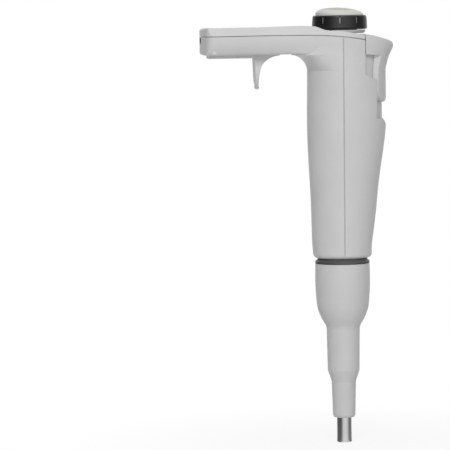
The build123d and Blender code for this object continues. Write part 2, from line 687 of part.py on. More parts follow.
# ---------------------------------------------------------------- ring and button
def make_adjust_ring():
    r = RING_ROUND
    k = r * (1 - math.sqrt(0.5))
    inner = BUSH_R + RUNNING
    wide, z0 = RING_R_LOW, RING_BOTTOM
    narrow, z1 = RING_R_HIGH, RING_TOP
    low_edge = ThreePointArc((wide - r, z0), (wide - k, z0 + k), (wide, z0 + r))
    top_edge = ThreePointArc((narrow, z1 - r), (narrow - k, z1 - k), (narrow - r, z1))
    rest = [(RING_BORE_R, z1), (RING_BORE_R, RING_WEB_TOP), (inner, RING_WEB_TOP), (inner, z0)]
    profile = [
        low_edge,
        Line(low_edge @ 1, top_edge @ 0),
        top_edge,
        Polyline(top_edge @ 1, *rest, low_edge @ 0),
    ]
    ring = revolve(make_face(Plane.XZ * (Curve() + profile)), Axis.Z)
    half = RING_GROOVE_WIDTH / 2
    floor = RING_R_HIGH - RING_GROOVE_DEPTH
    high = RING_TOP - RING_GROOVE_LAND - half
    low = high - RING_GROOVE_LENGTH + 2 * half
    slot = block(floor, 15, -half, half, low, high)
    slot += rod_x(floor, 15, half, 0, low) + rod_x(floor, 15, half, 0, high)
    for i in range(RING_GROOVES):
        ring -= Rot(0, 0, RING_GROOVE_PHASE + i * 360 / RING_GROOVES) * slot
    return ring - make_ring_magnet()


def make_ring_magnet():
    return tube(RING_BOTTOM, RING_BOTTOM + MAGNET, MAGNET_RADII[1], MAGNET_RADII[0])


def dome(drop=0.0):
    """Tilted crown of the push button, lowered by drop."""
    apex = BUTTON_APEX - drop
    foot = BUTTON_FOOT - 10
    crown = ThreePointArc((0, apex), (4.6, apex - 0.27), (8.9, apex - 1.05))
    shoulder = ThreePointArc(crown @ 1, (10.6, apex - 2.0), (BUTTON_R + 0.3, apex - 3.4))
    rest = Polyline(shoulder @ 1, (BUTTON_R + 0.3, foot), (0, foot), (0, apex))
    solid = revolve(make_face(Plane.XZ * (Curve() + [crown, shoulder, rest])), Axis.Z)
    return Pos(0, 0, BUTTON_FOOT) * Rot(0, BUTTON_TILT, 0) * Pos(0, 0, -BUTTON_FOOT) * solid


def make_button_cap():
    cap = dome() & rod(BUTTON_FOOT, BUTTON_APEX + 5, BUTTON_R)
    cap -= rod(INSERT_FLOOR, BUTTON_APEX + 5, INSERT_R) - dome(INSERT)
    return cap - rod(BUTTON_FOOT - 1, BUTTON_CEILING, BUTTON_BORE_R)


def make_button_insert():
    return (dome() - dome(INSERT)) & rod(INSERT_FLOOR, BUTTON_APEX + 5, INSERT_R)


# ---------------------------------------------------------------- lower end
def make_nozzle():
    edge = -NOZZLE_TIP
    shoulder = NOZZLE_R - 0.3
    rest = [
        (NOZZLE_R, NOZZLE_SEAL), (shoulder, NOZZLE_SEAL), (shoulder, CYLINDER_BOTTOM),
        (NOZZLE_STEM_R, CYLINDER_BOTTOM), (NOZZLE_STEM_R, NOZZLE_TOP), (CHANNEL_R, NOZZLE_TOP),
        (CHANNEL_R, NOZZLE_TIP),
    ]
    foot = Line((CHANNEL_R, NOZZLE_TIP), (NOZZLE_R - edge, NOZZLE_TIP))
    k = edge * (1 - math.sqrt(0.5))
    curve = ThreePointArc(foot @ 1, (NOZZLE_R - k, NOZZLE_TIP + k), (NOZZLE_R, 0.0))
    return revolve(make_face(Plane.XZ * (Curve() + [foot, curve, Polyline(curve @ 1, *rest)])), Axis.Z)


def make_cylinder():
    outer = [
        (NOZZLE_STEM_R, CYLINDER_BOTTOM), (3.9, CYLINDER_BOTTOM), (4.1, 33.0), (CYLINDER_R, 35.5),
        (CYLINDER_R, 61.0), (COLLAR_R, 62.5), (COLLAR_R, FRAME_BOTTOM), (SPIGOT_R, FRAME_BOTTOM),
        (SPIGOT_R, CYLINDER_TOP), (SEAL_R, CYLINDER_TOP), (SEAL_R, SEAL_FLOOR),
        (PLUNGER_R + 0.5, SEAL_FLOOR), (PLUNGER_R + 0.5, 38.0),
        (CHANNEL_R, 35.0), (CHANNEL_R, NOZZLE_TOP), (NOZZLE_STEM_R, NOZZLE_TOP),
    ]
    return turned(outer)


def make_lower_frame():
    body = turned([
        (SPIGOT_R, FRAME_BOTTOM), (FRAME_R, FRAME_BOTTOM), (FRAME_R, UNION_BOTTOM), (NECK_R, UNION_BOTTOM),
        (NECK_R, NUT_TOP), (PLUNGER_R + 0.5, NUT_TOP), (PLUNGER_R + 0.5, CYLINDER_TOP),
        (SPIGOT_R, CYLINDER_TOP),
    ])
    return body - rod_hole(FRAME_BOTTOM - 1, UNION_BOTTOM + 1)


def make_union_ring():
    ring = turned([
        (NECK_R, UNION_BOTTOM), (UNION_R, UNION_BOTTOM), (UNION_R, UNION_BOTTOM + UNION_BAND),
        (UNION_TOP_R, HANDLE_BOTTOM - 0.1), (UNION_TOP_R, HANDLE_BOTTOM), (NECK_R, HANDLE_BOTTOM),
    ])
    return ring - rod_hole(UNION_BOTTOM - 1, HANDLE_BOTTOM + 1)


def plate(z0, z1, r):
    """Round carrier plate with holes for the guide rods and the ejector rod."""
    guides = rod(z0, z1, GUIDE_R, 0, GUIDE_Y) + rod(z0, z1, GUIDE_R, 0, -GUIDE_Y)
    return rod(z0, z1, r) - rod_hole(z0 - 1, z1 + 1) - guides


# ---------------------------------------------------------------- drive
def make_carriage():
    z0, z1 = CARRIAGE
    body = rod(z0, z1, 4.6)
    body += block(-1.8, 1.8, -GUIDE_Y, GUIDE_Y, z0, z1)
    for y in (-GUIDE_Y, GUIDE_Y):
        body += rod(z0, z1, GUIDE_R + 0.7, 0, y)
        body -= rod(z0, z1, GUIDE_R + RUNNING, 0, y)
    return body - rod(z0, z1, NUT_R)


def make_motor_can():
    can = rod(MOTOR_BOTTOM, MOTOR_TOP, MOTOR_R)
    can -= rod(MOTOR_BOTTOM + BUSH, MOTOR_TOP - BUSH, MOTOR_R - MOTOR_SHELL)
    can -= rod(MOTOR_BOTTOM, MOTOR_TOP, 3.0)
    for x, y in MOTOR_SCREWS:
        can -= rod(MOTOR_BOTTOM, MOTOR_BOTTOM + MOTOR_SCREW_DEPTH, MOTOR_SCREW_R, x, y)
    return can


def make_motor_plate():
    low = MOTOR_BOTTOM - PLATE
    body = plate(low, MOTOR_BOTTOM, 11.5) - rod(low, MOTOR_BOTTOM, 3.3)
    for x, y in MOTOR_SCREWS:
        body -= rod(low, MOTOR_BOTTOM, MOTOR_SCREW_R, x, y) + rod(low, low + 1.0, 1.5, x, y)
    return body


# ---------------------------------------------------------------- rail and hook
def make_contact(y):
    low = RAIL_BOTTOM
    return block(*CONTACT_X, y - CONTACT_HALF_WIDTH, y + CONTACT_HALF_WIDTH, low, low + CONTACT_DEPTH)


def make_finger_hook():
    rail = block(RAIL_FRONT, RAIL_BACK, -RAIL_HALF_WIDTH, RAIL_HALF_WIDTH, RAIL_BOTTOM, ARM_BOTTOM)
    tip = HOOK_TIP
    face = [(RAIL_BACK, RAIL_BOTTOM), (-40.4, 174.0), (-39.95, tip + 1.6)]
    front = Spline(*face, tangents=[(0.05, -1), (0.25, -1)])
    point = ThreePointArc(front @ 1, (-39.4, tip), (-38.95, tip + 1.7))
    back = Spline(point @ 1, (-38.7, 172.5), (HOOK_BACK, 178.1), tangents=[(0.1, 1), (0.45, 1)])
    rest = Polyline(back @ 1, (HOOK_BACK, ARM_BOTTOM), (RAIL_BACK, ARM_BOTTOM), front @ 0)
    outline = Curve() + [front, point, back, rest]
    blade = across(outline, HOOK_HALF_WIDTH)
    w = HOOK_HALF_WIDTH
    tongue = Curve() + [
        Line((-w, 185), (-w, 174.5)),
        ThreePointArc((-w, 174.5), (0, tip), (w, 174.5)),
        Polyline((w, 174.5), (w, 185), (-w, 185)),
    ]
    blade &= extrude(make_face(Plane.YZ * tongue), REACH, both=True)
    body = rail + blade
    for y in CONTACT_Y:
        body -= make_contact(y)
    for x in RAIL_SCREWS:
        body -= rod(RAIL_BOTTOM + 0.6, ARM_BOTTOM, RAIL_SCREW_R, x)
    return body


# ---------------------------------------------------------------- electronics
def make_main_board():
    board = block(-62.0, -15.5, -15.0, 15.0, BOARD_BOTTOM, BOARD_TOP)
    board += block(-16.0, 6.0, -6.5, 6.5, BOARD_BOTTOM, BOARD_TOP)
    for x, y in BOARD_POSTS:
        board -= rod(BOARD_BOTTOM, BOARD_TOP, BOARD_SCREW_R, x, y)
    return board


def make_usb_socket():
    front, back = USB_FRONT, USB_BACK
    half, wall = 3.8, 0.35
    top = BOARD_TOP + 2.5
    shell = block(front, back, -half, half, BOARD_TOP, top)
    shell -= block(front - 1, back - 0.6, -half + wall, half - wall, BOARD_TOP + wall, top - wall)
    return shell + block(front + 0.8, back - 0.6, -2.4, 2.4, BOARD_TOP + 1.0, BOARD_TOP + 1.5)


def make_display_module():
    return block(-59.5, -32.0, -11.5, 11.5, BOARD_TOP, DISPLAY_TOP)


def make_key_mat():
    mat = block(-26.0, -16.2, -13.5, 13.5, BOARD_TOP, BOARD_TOP + 1.0)
    for x, y in KEYS:
        mat += rod(BOARD_TOP, KEY_FOOT - KEY_TRAVEL, 2.0, x, y)
    return mat


def make_flex_cable():
    """Flat ribbon from the motor up the front wall to the main board."""
    x, half, thick = -12.3, 3.0, 0.3
    strip = block(x, x + thick, -half, half, 143.0, BOARD_BOTTOM)
    foot = block(x, -MOTOR_R, -half, half, 143.0, 143.0 + thick)
    head = block(-20.0, x + thick, -half, half, BOARD_BOTTOM - thick, BOARD_BOTTOM)
    return strip + head + (foot - rod(140, 150, MOTOR_R))


def make_battery_pack():
    pack = block(-10.0, 6.5, -8.5, 8.5, 150.2, 174.8)
    return fillet(pack.edges().filter_by(Axis.Z), 2.0)


def make_housing_screw(y):
    shank = rod_x(-CASE_SCREW_REACH, CASE_SCREW_SEAT, CASE_SCREW_R, y, CASE_SCREW_Z)
    head_r, head = CASE_SCREW_HEAD
    return shank + rod_x(CASE_SCREW_SEAT, CASE_SCREW_SEAT + head, head_r, y, CASE_SCREW_Z)


def make_motor_screw(x, y):
    return screw(MOTOR_BOTTOM - PLATE, MOTOR_BOTTOM + MOTOR_SCREW_DEPTH, MOTOR_SCREW_R, 1.5, 1.0, x, y)


def make_cover_screw(x, y):
    return screw(BOSS_TOP, COVER_SCREW_END, COVER_SCREW_R, *COVER_SCREW_HEAD, x, y)


def make_board_screw(x, y):
    head_r, head = BOARD_SCREW_HEAD
    return screw(BOARD_TOP + head, BOARD_SCREW_END, BOARD_SCREW_R, head_r, head, x, y)


def make_rail_screw(x):
    head_r, head = RAIL_SCREW_HEAD
    return screw(ARM_BOTTOM + WALL + head, RAIL_BOTTOM + 0.6, RAIL_SCREW_R, head_r, head, x, 0.0)


def make_ring_bush():
    """Bush that the ring turns on and the button's stem slides in."""
    high = tube(BOSS_TOP, RING_WEB_TOP + 0.2, BUSH_R, STEM_R + RUNNING)
    return high + tube(POST_TOP, BOSS_TOP, 5.0, STEM_R + RUNNING)


def make_motor_bush(z):
    return tube(z, z + BUSH, 3.0, SCREW_R + RUNNING)


def make_piston_rod():
    bore = rod(CARRIAGE[0] - STROKE - 2, CARRIAGE[0], SCREW_R + GAP)
    return rod(PLUNGER_TOP, CARRIAGE[0], 3.0) - bore


def make_guide_rod(y):
    return rod(HANDLE_BOTTOM + WALL, MOTOR_BOTTOM, GUIDE_R, 0.0, y)


def make_button_switch():
    return rod(BOARD_TOP, BOARD_TOP + SWITCH, 2.0) + block(-3, 3, -3, 3, BOARD_TOP, BOARD_TOP + 1.0)


def each(make, places):
    return Compound(children=[make(*place) for place in places])


# ---------------------------------------------------------------- write the pieces
def main():
    cover = cover_form()
    low_plate = HANDLE_BOTTOM + WALL
    seal, o_ring, washer = SEAL_STACK
    ring_z = SEAL_FLOOR + seal + o_ring / 2
    washer_z = SEAL_FLOOR + seal + o_ring
    retainer_z = CYLINDER_TOP - SEAL_RETAINER
    sensor_z = MOTOR_BOTTOM - PLATE
    rotor = (MOTOR_BOTTOM + BUSH + ROTOR_GAP, MOTOR_TOP - BUSH - ROTOR_GAP)
    ring_retainer_z = RING_WEB_TOP + 0.2
    pieces = {
        "front_housing": make_front_housing(),
        "rear_housing": make_rear_housing(),
        "top_cover": make_top_cover(cover),
        "display_window": make_display_window(cover),
        "finger_hook": make_finger_hook(),
        "charge_contacts": each(make_contact, [(y,) for y in CONTACT_Y]),
        "main_board": make_main_board(),
        "display_module": make_display_module(),
        "usb_socket": make_usb_socket(),
        "key_mat": make_key_mat(),
        "flex_cable": make_flex_cable(),
        "battery_pack": make_battery_pack(),
        "button_switch": make_button_switch(),
        "ring_sensor": block(-11.5, -8.5, -1.5, 1.5, POST_TOP - 1.0, POST_TOP),
        "home_sensor": block(-10.5, -6.0, -3.0, 3.0, sensor_z - 4.0, sensor_z),
        "thumb_lever": make_thumb_lever(),
        "ejector_rod": make_ejector_rod(),
        "ejector_clip": tube(SPRING_HEAD, SPRING_HEAD + 1.0, 2.9, ROD_R, ROD_X_HIGH),
        "ejector_spring": coil(SPRING_FOOT, SPRING_HEAD, 2.45, 0.35, 8, ROD_X_HIGH),
        "ejector_sleeve": make_ejector_sleeve(),
        "adjust_ring": make_adjust_ring(),
        "ring_magnet": make_ring_magnet(),
        "ring_bush": make_ring_bush(),
        "ring_retainer": tube(ring_retainer_z, ring_retainer_z + RETAINER, 9.2, STEM_R + GAP),
        "button_cap": make_button_cap(),
        "button_insert": make_button_insert(),
        "button_stem": rod(STEM_BOTTOM, BUTTON_CEILING, STEM_R),
        "button_spring": coil(ring_retainer_z + RETAINER, BUTTON_CEILING, 5.5, 0.3, 2.5),
        "union_ring": make_union_ring(),
        "lower_frame": make_lower_frame(),
        "frame_nut": tube(low_plate + PLATE, NUT_TOP, 7.7, NECK_R),
        "lower_plate": plate(low_plate, low_plate + PLATE, 10.7) - rod(low_plate, low_plate + PLATE, NECK_R),
        "motor_plate": make_motor_plate(),
        "guide_rods": each(make_guide_rod, [(GUIDE_Y,), (-GUIDE_Y,)]),
        "motor_can": make_motor_can(),
        "motor_bushes": each(make_motor_bush, [(MOTOR_BOTTOM,), (MOTOR_TOP - BUSH,)]),
        "motor_rotor": tube(*rotor, 6.1, SCREW_R),
        "motor_screws": each(make_motor_screw, MOTOR_SCREWS),
        "lead_screw": rod(CARRIAGE[0] - 1.0, MOTOR_TOP, SCREW_R),
        "carriage": make_carriage(),
        "drive_nut": tube(*CARRIAGE, NUT_R, SCREW_R + RUNNING),
        "piston_rod": make_piston_rod(),
        "plunger": rod(38.6, PLUNGER_TOP, PLUNGER_R),
        "cylinder": make_cylinder(),
        "nozzle": make_nozzle(),
        "piston_seal": tube(SEAL_FLOOR, SEAL_FLOOR + seal, SEAL_R, PLUNGER_R + RUNNING),
        "seal_o_ring": Pos(0, 0, ring_z) * Torus(SEAL_R - 0.8, o_ring / 2),
        "seal_washer": tube(washer_z, washer_z + washer, SEAL_R, PLUNGER_R + GAP),
        "seal_spring": coil(washer_z + washer, retainer_z, 5.45, 0.35, 3),
        "seal_retainer": tube(retainer_z, CYLINDER_TOP, SEAL_R, PLUNGER_R + GAP),
        "housing_screws": each(make_housing_screw, [(-CASE_SCREW_Y,), (CASE_SCREW_Y,)]),
        "cover_screws": each(make_cover_screw, COVER_POSTS),
        "board_screws": each(make_board_screw, BOARD_POSTS),
        "rail_screws": each(make_rail_screw, [(x,) for x in RAIL_SCREWS]),
    }
    for number, (x, y) in enumerate(KEYS, 1):
        pieces[f"key_{number}"] = make_key(cover, x, y)
    for name, piece in pieces.items():
        save(name, piece)


main()
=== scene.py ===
"""Electronic pipette: materials, fine details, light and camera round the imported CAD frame.

Metres, +Z up. Sizes of fine details are in millimetres.
"""
import json
import math

import bpy
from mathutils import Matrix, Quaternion, Vector


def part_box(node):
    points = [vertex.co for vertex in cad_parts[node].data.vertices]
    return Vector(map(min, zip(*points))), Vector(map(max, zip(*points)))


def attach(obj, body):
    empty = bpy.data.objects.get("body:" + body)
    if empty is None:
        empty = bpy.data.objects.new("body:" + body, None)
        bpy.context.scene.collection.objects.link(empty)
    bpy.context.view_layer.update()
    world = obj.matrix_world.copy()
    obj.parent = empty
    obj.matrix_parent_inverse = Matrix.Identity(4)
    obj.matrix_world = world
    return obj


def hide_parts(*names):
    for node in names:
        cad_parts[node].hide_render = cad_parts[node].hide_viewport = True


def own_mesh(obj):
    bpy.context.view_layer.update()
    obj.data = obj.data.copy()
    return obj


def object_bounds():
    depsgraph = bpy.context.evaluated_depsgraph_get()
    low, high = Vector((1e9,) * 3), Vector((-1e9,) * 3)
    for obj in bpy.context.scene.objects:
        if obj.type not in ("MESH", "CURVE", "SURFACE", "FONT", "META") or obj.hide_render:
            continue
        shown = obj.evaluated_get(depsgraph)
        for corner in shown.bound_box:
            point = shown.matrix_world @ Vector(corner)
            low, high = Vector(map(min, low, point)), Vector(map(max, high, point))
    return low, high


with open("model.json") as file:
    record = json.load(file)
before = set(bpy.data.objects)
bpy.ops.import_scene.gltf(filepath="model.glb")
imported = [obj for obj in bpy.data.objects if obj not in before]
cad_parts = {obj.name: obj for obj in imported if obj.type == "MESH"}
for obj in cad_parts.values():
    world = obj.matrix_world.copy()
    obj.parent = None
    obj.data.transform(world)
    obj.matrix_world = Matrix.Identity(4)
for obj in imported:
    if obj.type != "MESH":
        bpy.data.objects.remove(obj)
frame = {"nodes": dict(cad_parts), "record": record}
CAD_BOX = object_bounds()
NODES = frame["nodes"]
MM = 0.001
SHARP_ANGLE = math.radians(28)


# ---------------------------------------------------------------- node helpers
def new_material(name):
    """A material with an emptied node tree, its Principled shader and its output."""
    material = bpy.data.materials.new(name)
    material.use_nodes = True
    tree = material.node_tree
    tree.nodes.clear()
    output = tree.nodes.new("ShaderNodeOutputMaterial")
    shader = tree.nodes.new("ShaderNodeBsdfPrincipled")
    tree.links.new(shader.outputs["BSDF"], output.inputs["Surface"])
    return material, tree, shader


def linear(srgb):
    """Linear colour of an sRGB triple given in 0 to 255."""
    out = []
    for value in srgb:
        c = value / 255
        out.append(c / 12.92 if c <= 0.04045 else ((c + 0.055) / 1.055) ** 2.4)
    return (*out, 1.0)


def noise(tree, scale, detail=2.0, roughness=0.5):
    """Noise over the object's own coordinates; scale is in features per metre."""
    coords = tree.nodes.new("ShaderNodeTexCoord")
    texture = tree.nodes.new("ShaderNodeTexNoise")
    texture.inputs["Scale"].default_value = scale
    texture.inputs["Detail"].default_value = detail
    texture.inputs["Roughness"].default_value = roughness
    tree.links.new(coords.outputs["Object"], texture.inputs["Vector"])
    return texture


def vary_colour(tree, shader, srgb, amount, scale):
    """Base colour that drifts by amount round an sRGB colour."""
    ramp = tree.nodes.new("ShaderNodeValToRGB")
    dark = [max(0, c - amount) for c in srgb]
    light = [min(255, c + amount) for c in srgb]
    ramp.color_ramp.elements[0].position = 0.3
    ramp.color_ramp.elements[0].color = linear(dark)
    ramp.color_ramp.elements[1].position = 0.7
    ramp.color_ramp.elements[1].color = linear(light)
    tree.links.new(noise(tree, scale).outputs["Fac"], ramp.inputs["Fac"])
    tree.links.new(ramp.outputs["Color"], shader.inputs["Base Color"])


def vary_roughness(tree, shader, low, high, scale):
    spread = tree.nodes.new("ShaderNodeMapRange")
    spread.inputs["To Min"].default_value = low
    spread.inputs["To Max"].default_value = high
    tree.links.new(noise(tree, scale, 3.0).outputs["Fac"], spread.inputs["Value"])
    tree.links.new(spread.outputs["Result"], shader.inputs["Roughness"])


def grain(tree, shader, scale, height, strength=1.0):
    """Fine bump whose height is in metres."""
    bump = tree.nodes.new("ShaderNodeBump")
    bump.inputs["Distance"].default_value = height
    bump.inputs["Strength"].default_value = strength
    tree.links.new(noise(tree, scale, 4.0, 0.6).outputs["Fac"], bump.inputs["Height"])
    tree.links.new(bump.outputs["Normal"], shader.inputs["Normal"])
    return bump


# ---------------------------------------------------------------- materials
# scales in features per metre
PLASTIC_DRIFT, PLASTIC_ROUGHNESS, PLASTIC_GRAIN = 60, 900, 5200
METAL_DRIFT, METAL_ROUGHNESS, METAL_GRAIN = 150, 1500, 9000
METAL_GRAIN_HEIGHT = 0.000004
TURNED_STRETCH = (0.02, 0.02, 1.0)
WINDOW_IOR = 1.49


def plastic(name, srgb, rough=(0.38, 0.48), drift=2, grain_height=0.00001):
    material, tree, shader = new_material(name)
    vary_colour(tree, shader, srgb, drift, PLASTIC_DRIFT)
    vary_roughness(tree, shader, *rough, PLASTIC_ROUGHNESS)
    grain(tree, shader, PLASTIC_GRAIN, grain_height)
    return material


def metal(name, srgb, rough=(0.18, 0.28), turned=False):
    """Bright metal; turned gives it fine rings round Z."""
    material, tree, shader = new_material(name)
    vary_colour(tree, shader, srgb, 3, METAL_DRIFT)
    vary_roughness(tree, shader, *rough, METAL_ROUGHNESS)
    shader.inputs["Metallic"].default_value = 1.0
    bump = grain(tree, shader, METAL_GRAIN, METAL_GRAIN_HEIGHT)
    if turned:
        coords = tree.nodes.new("ShaderNodeTexCoord")
        stretch = tree.nodes.new("ShaderNodeMapping")
        stretch.inputs["Scale"].default_value = TURNED_STRETCH
        rings = tree.nodes.new("ShaderNodeTexNoise")
        rings.inputs["Scale"].default_value = METAL_GRAIN
        tree.links.new(coords.outputs["Object"], stretch.inputs["Vector"])
        tree.links.new(stretch.outputs["Vector"], rings.inputs["Vector"])
        tree.links.new(rings.outputs["Fac"], bump.inputs["Height"])
    return material


def window(name, tint):
    """Clear tinted plastic."""
    material, tree, shader = new_material(name)
    vary_colour(tree, shader, tint, 1, PLASTIC_DRIFT)
    vary_roughness(tree, shader, 0.02, 0.05, PLASTIC_ROUGHNESS)
    shader.inputs["Transmission Weight"].default_value = 1.0
    shader.inputs["IOR"].default_value = WINDOW_IOR
    return material


SLOTS = {
    "shell_grey": lambda: plastic("shell grey", (209, 209, 209)),
    "ring_black": lambda: plastic("ring black", (24, 24, 25), (0.26, 0.36), 2, 0.000008),
    "seal_dark": lambda: plastic("seal dark", (78, 78, 80), (0.36, 0.46)),
    "dome_white": lambda: plastic("dome white", (220, 221, 214), (0.25, 0.32), 1, 0.000003),
    "dome_green": lambda: plastic("dome green", (168, 176, 148), (0.25, 0.32), 1, 0.000003),
    "nozzle_steel": lambda: metal("nozzle steel", (205, 205, 206), (0.16, 0.22), True),
    "steel": lambda: metal("steel", (180, 180, 182)),
    "screen_dark": lambda: window("screen dark", (214, 220, 222)),
    "display_grey": lambda: plastic("display grey", (168, 178, 166)),
    "key_grey": lambda: plastic("key grey", (150, 152, 156)),
    "rubber_grey": lambda: plastic("rubber grey", (128, 128, 130), (0.5, 0.6)),
    "board_green": lambda: plastic("board green", (28, 92, 54), (0.25, 0.35)),
    "contact_gold": lambda: metal("contact gold", (226, 188, 92)),
    "motor_steel": lambda: metal("motor steel", (120, 122, 126), (0.3, 0.4)),
    "magnet": lambda: metal("magnet", (80, 80, 84), (0.3, 0.4)),
    "brass": lambda: metal("brass", (212, 176, 98)),
    "ptfe_white": lambda: plastic("ptfe white", (236, 236, 234)),
    "inner_plastic": lambda: plastic("inner plastic", (196, 197, 198)),
    "battery_blue": lambda: plastic("battery blue", (58, 88, 140), (0.3, 0.4)),
    "plate_metal": lambda: metal("plate metal", (190, 191, 193), (0.3, 0.4)),
    "flex_orange": lambda: plastic("flex orange", (190, 116, 40), (0.25, 0.35)),
    "chip_black": lambda: plastic("chip black", (26, 26, 28)),
}


def dress_nodes():
    """Give every CAD node its slot's procedural material."""
    made = {}
    for part in frame["record"]["subparts"]:
        slot = part["material_slot"]
        if slot not in made:
            made[slot] = SLOTS[slot]()
        mesh = NODES[part["node"]].data
        mesh.materials.clear()
        mesh.materials.append(made[slot])
        mesh.polygons.foreach_set("material_index", [0] * len(mesh.polygons))
        mesh.polygons.foreach_set("use_smooth", [True] * len(mesh.polygons))
        mesh.set_sharp_from_angle(angle=SHARP_ANGLE)
        even = NODES[part["node"]].modifiers.new("even normals", "WEIGHTED_NORMAL")
        even.keep_sharp = True
        even.weight = 100
    return made


# ---------------------------------------------------------------- fine details
RING_FLOOR_R = 11.75
RING_GROOVES = 9
RING_GROOVE_PHASE = 265.0
# Light grey strips on the ring's groove floors: a painted highlight where the grooves catch the light.
GROOVE_HIGHLIGHT = (0.42, 196.85, 199.95, 0.35)  # half width, from Z to Z, height above the groove's floor
RAIL_MARK = (-60.0, 183.55, 185.0, 1.2)  # X, from Z to Z, half width
RAIL_MARK_LIFT = 0.04
USB_MOUTH = (6.1, 188.4, 191.5)  # half width, from Z to Z
USB_OPENING = (3.95, 188.5, 191.2)
USB_DEPTH = (-65.5, -64.3)
DIGITS = 4
DIGIT = (3.4, 6.4, 0.55)  # width, height and stroke
DIGIT_PITCH = 5.0
DIGIT_PLACE = (-43.5, -9.4)  # X of the foot line, Y of the first digit
DIGIT_LIFT = 0.02
SEGMENTS = [  # if at the digit's right, how far up in halves, if it lies across
    (0, 2, True),
    (1, 1, False),
    (1, 0, False),
    (0, 0, True),
    (0, 0, False),
    (0, 1, False),
    (0, 1, True),
]


def mesh_piece(name, points, faces, material, slot, body, smooth=False):
    """A mesh given in millimetres that takes a slot's material and rides on a body."""
    mesh = bpy.data.meshes.new(name)
    mesh.from_pydata([Vector(p) * MM for p in points], [], faces)
    mesh.validate()
    mesh.polygons.foreach_set("use_smooth", [smooth] * len(mesh.polygons))
    mesh.materials.append(material)
    piece = bpy.data.objects.new(name, mesh)
    bpy.context.scene.collection.objects.link(piece)
    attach(piece, body)
    return piece


def prism(outline, lift):
    """Points and faces of a prism between an outline and its copy moved by lift."""
    n = len(outline)
    points = [Vector(p) for p in outline] + [Vector(p) + Vector(lift) for p in outline]
    faces = [tuple(range(n - 1, -1, -1)), tuple(range(n, 2 * n))]
    for i in range(n):
        j = (i + 1) % n
        faces.append((i, j, n + j, n + i))
    return points, faces


def gather(parts):
    """One list of points and faces out of several."""
    points, faces = [], []
    for more, loops in parts:
        start = len(points)
        points += more
        faces += [tuple(start + i for i in loop) for loop in loops]
    return points, faces


def capsule(half, low, high, steps=8):
    """Outline in Y and Z of a strip with round ends."""
    outline = []
    for i in range(steps + 1):
        t = math.pi * i / steps
        outline.append((half * math.cos(t), high - half + half * math.sin(t)))
    for i in range(steps + 1):
        t = math.pi * (1 + i / steps)
        outline.append((half * math.cos(t), low + half + half * math.sin(t)))
    return outline


# Grey strips laid in the nine grooves paint the light that the groove floors catch: painted highlight, not a
# part of the ring.
def painted_groove_highlights(made):
    half, low, high, height = GROOVE_HIGHLIGHT
    strip = [(RING_FLOOR_R, y, z) for y, z in capsule(half, low, high)]
    parts = []
    for i in range(RING_GROOVES):
        turn = Quaternion((0, 0, 1), math.radians(RING_GROOVE_PHASE + i * 360 / RING_GROOVES))
        points, faces = prism(strip, (height, 0, 0))
        parts.append(([turn @ p for p in points], faces))
    mesh_piece("painted_groove_highlights", *gather(parts), made["rubber_grey"], "rubber_grey", "adjust_ring")


def surface_point(node, x, z, lift):
    """Point on a node's near side at X and Z, in millimetres, lifted off the surface."""
    hit, place, normal, _ = NODES[node].ray_cast(Vector((x * MM, -0.1, z * MM)), Vector((0, 1, 0)))
    if not hit:
        raise RuntimeError(f"nothing of {node} at {x}, {z}")
    return (place + normal * lift * MM) / MM


def rail_mark(made):
    """Raised arrowhead on the arm's side over the rail."""
    rows, columns = 6, 4
    centre, base, tip, half = RAIL_MARK
    points, faces = [], []
    for i in range(rows + 1):
        z = base + (tip - base) * i / rows
        w = half * (1 - i / rows) + 0.02
        for k in range(columns + 1):
            points.append(surface_point("front_housing", centre - w + 2 * w * k / columns, z, RAIL_MARK_LIFT))
    for i in range(rows):
        for k in range(columns):
            a = (columns + 1) * i + k
            faces.append((a, a + 1, a + columns + 2, a + columns + 1))
    mesh_piece("rail_mark", points, faces, made["ptfe_white"], "ptfe_white", "housing", True)


def usb_bezel(made):
    """Black frame round the charging socket's mouth."""
    rim = []
    for half, low, high in (USB_MOUTH, USB_OPENING):
        rim += [(half, low), (half, high), (-half, high), (-half, low)]
    points = [(x, y, z) for x in USB_DEPTH for y, z in rim]
    faces = []
    for i in range(4):
        j = (i + 1) % 4
        faces += [(i, j, 4 + j, 4 + i), (8 + i, 12 + i, 12 + j, 8 + j)]
        faces += [(i, 8 + i, 8 + j, j), (4 + i, 4 + j, 12 + j, 12 + i)]
    mesh_piece("usb_bezel", points, faces, made["chip_black"], "chip_black", "housing")


def segment(x, y, along):
    """Bar with pointed ends; along says if it lies across the digit."""
    w, h, s = DIGIT
    length = (w if along else h / 2) - s
    shape = [(s / 2, 0), (s, s / 2), (length, s / 2), (length + s / 2, 0), (length, -s / 2), (s, -s / 2)]
    return [(x + a, y + b) if along else (x + b, y + a) for a, b in shape]


def display_digits(made):
    """Plain seven-bar digits on the display, read from the handle's side."""
    w, h, _ = DIGIT
    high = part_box("display_module")[1].z / MM
    foot, first = DIGIT_PLACE
    parts = []
    for number in range(DIGITS):
        for right, up, along in SEGMENTS:
            bar = segment(first + number * DIGIT_PITCH + right * w, up * h / 2, along)
            outline = [(foot - b, a, high) for a, b in bar]
            parts.append(prism(outline, (0, 0, DIGIT_LIFT)))
    mesh_piece("display_digits", *gather(parts), made["chip_black"], "chip_black", "housing")


SPRINGS = [  # node, body, joint, height of the moving end, length at rest, travel
    ("button_spring", "push_button", "button_press", 201.9, 4.5, 3.0),
    ("ejector_spring", "ejector", "eject", 172.0, 22.0, 7.0),
]


def live_springs():
    """Spring coils, copied from their nodes, that ride whole on their bodies."""
    for node, body, joint, top, length, travel in SPRINGS:
        piece = bpy.data.objects.new(f"{node}_coil", NODES[node].data.copy())
        bpy.context.scene.collection.objects.link(piece)
        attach(piece, body)
        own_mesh(piece)
        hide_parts(node)


